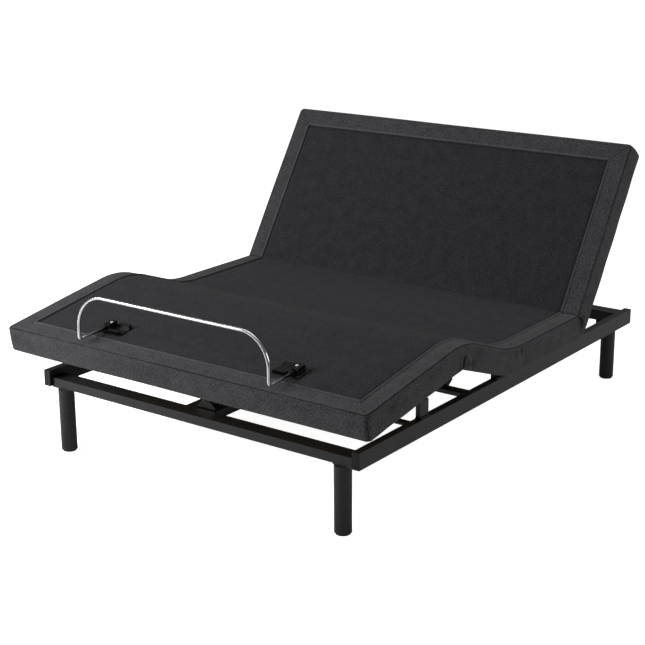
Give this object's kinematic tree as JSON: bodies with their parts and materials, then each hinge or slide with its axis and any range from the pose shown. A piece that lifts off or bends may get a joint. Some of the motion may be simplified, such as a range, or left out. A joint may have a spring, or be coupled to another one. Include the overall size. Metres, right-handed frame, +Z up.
{
  "type": "adjustable bed base",
  "caption": "Adjustable bed base: upholstered head, seat, thigh and foot sections on a steel frame with round legs and a mattress retainer bar.",
  "frame": {"origin": "on the floor, under the middle of the base's bounding box", "axes": "+Z up; -Y towards the foot end and +Y towards the head end; +X to the right when looking from the foot end to the head end"},
  "size_m": [1.524, 1.958, 0.9964],
  "materials": {
    "cover_fabric": "woven charcoal heather, matt",
    "frame_steel": "black powder coat, satin",
    "chrome": "polished",
    "zinc_steel": "zinc plated",
    "black_plastic": "moulded, fine grain",
    "rubber": "matt black",
    "deck_board": "raw particle board"
  },
  "bodies": {
    "base": {"seat_frame": "frame_steel", "seat_board": "deck_board", "seat_cover": "cover_fabric", "thigh_hinge_rod": "zinc_steel", "head_hinge_rod": "zinc_steel", "left_side_rail": "frame_steel", "right_side_rail": "frame_steel", "left_rail_cap_foot": "black_plastic", "left_rail_cap_head": "black_plastic", "right_rail_cap_foot": "black_plastic", "right_rail_cap_head": "black_plastic", "foot_cross_rail": "frame_steel", "head_cross_rail": "frame_steel", "knee_cross_rail": "frame_steel", "rear_cross_rail": "frame_steel", "centre_rail": "frame_steel", "foot_cross_rod": "frame_steel", "foot_left_leg_lower": "frame_steel", "foot_left_leg_middle": "frame_steel", "foot_left_leg_upper": "frame_steel", "foot_left_leg_glide": "rubber", "foot_right_leg_lower": "frame_steel", "foot_right_leg_middle": "frame_steel", "foot_right_leg_upper": "frame_steel", "foot_right_leg_glide": "rubber", "head_left_leg_lower": "frame_steel", "head_left_leg_middle": "frame_steel", "head_left_leg_upper": "frame_steel", "head_left_leg_glide": "rubber", "head_right_leg_lower": "frame_steel", "head_right_leg_middle": "frame_steel", "head_right_leg_upper": "frame_steel", "head_right_leg_glide": "rubber", "left_seat_post_front": "frame_steel", "left_seat_post_rear": "frame_steel", "right_seat_post_front": "frame_steel", "right_seat_post_rear": "frame_steel", "left_foot_rest_post": "frame_steel", "right_foot_rest_post": "frame_steel", "control_box": "black_plastic", "cord_inlet": "rubber"},
    "head_section": {"head_frame": "frame_steel", "head_board": "deck_board", "head_cover": "cover_fabric"},
    "thigh_section": {"thigh_frame": "frame_steel", "thigh_board": "deck_board", "thigh_cover": "cover_fabric", "knee_hinge_rod": "zinc_steel"},
    "foot_section": {"foot_frame": "frame_steel", "foot_board": "deck_board", "foot_cover": "cover_fabric", "retainer_bar": "chrome", "left_retainer_bracket": "black_plastic", "right_retainer_bracket": "black_plastic"},
    "left_link": {"left_foot_link": "frame_steel"},
    "right_link": {"right_foot_link": "frame_steel"},
    "head_actuator": {"head_actuator_body": "black_plastic"},
    "head_actuator_ram": {"head_actuator_rod": "zinc_steel"},
    "thigh_actuator": {"thigh_actuator_body": "black_plastic"},
    "thigh_actuator_ram": {"thigh_actuator_rod": "zinc_steel"}
  },
  "joints": [
    {"name": "head_lift", "type": "hinge", "parent": "base", "child": "head_section", "pos_m": [0, 0.38215, 0.3814], "axis": [1, 0, 0], "range_deg": [-56.7, 3.3]},
    {"name": "thigh_lift", "type": "hinge", "parent": "base", "child": "thigh_section", "pos_m": [0, -0.13369, 0.3814], "axis": [-1, 0, 0], "range_deg": [-20.1, 14.9]},
    {"name": "knee_fold", "type": "hinge", "parent": "thigh_section", "child": "foot_section", "pos_m": [0, -0.42574, 0.48828], "axis": [1, 0, 0], "range_deg": [-28.9, 21.5]},
    {"name": "left_link_swing", "type": "hinge", "parent": "base", "child": "left_link", "pos_m": [-0.56, -0.19603, 0.312], "axis": [-1, 0, 0], "range_deg": [-20.4, 15.2]},
    {"name": "right_link_swing", "type": "hinge", "parent": "base", "child": "right_link", "pos_m": [0.56, -0.19603, 0.312], "axis": [-1, 0, 0], "range_deg": [-20.4, 15.2]},
    {"name": "head_actuator_swing", "type": "hinge", "parent": "base", "child": "head_actuator", "pos_m": [0.11, -0.18602, 0.29], "axis": [1, 0, 0], "range_deg": [-5.6, 0.5]},
    {"name": "head_actuator_travel", "type": "slide", "parent": "head_actuator", "child": "head_actuator_ram", "axis": [0, 0.996, 0.0894], "range_m": [-0.0652, 0.0042]},
    {"name": "thigh_actuator_swing", "type": "hinge", "parent": "base", "child": "thigh_actuator", "pos_m": [-0.11, 0.32598, 0.306], "axis": [-1, 0, 0], "range_deg": [-2.5, 2]},
    {"name": "thigh_actuator_travel", "type": "slide", "parent": "thigh_actuator", "child": "thigh_actuator_ram", "axis": [0, -0.9996, 0.0267], "range_m": [-0.0235, 0.0175]}
  ],
  "couplings": [
    {"joint": "knee_fold", "follows": "thigh_lift", "ratio": 1.4358},
    {"joint": "left_link_swing", "follows": "thigh_lift", "ratio": 1.006},
    {"joint": "right_link_swing", "follows": "thigh_lift", "ratio": 1.006},
    {"joint": "head_actuator_swing", "follows": "head_lift", "ratio": 0.096231},
    {"joint": "head_actuator_travel", "follows": "head_lift", "m_per_rad": 0.065174},
    {"joint": "thigh_actuator_swing", "follows": "thigh_lift", "ratio": 0.11557},
    {"joint": "thigh_actuator_travel", "follows": "thigh_lift", "m_per_rad": 0.065017}
  ]
}
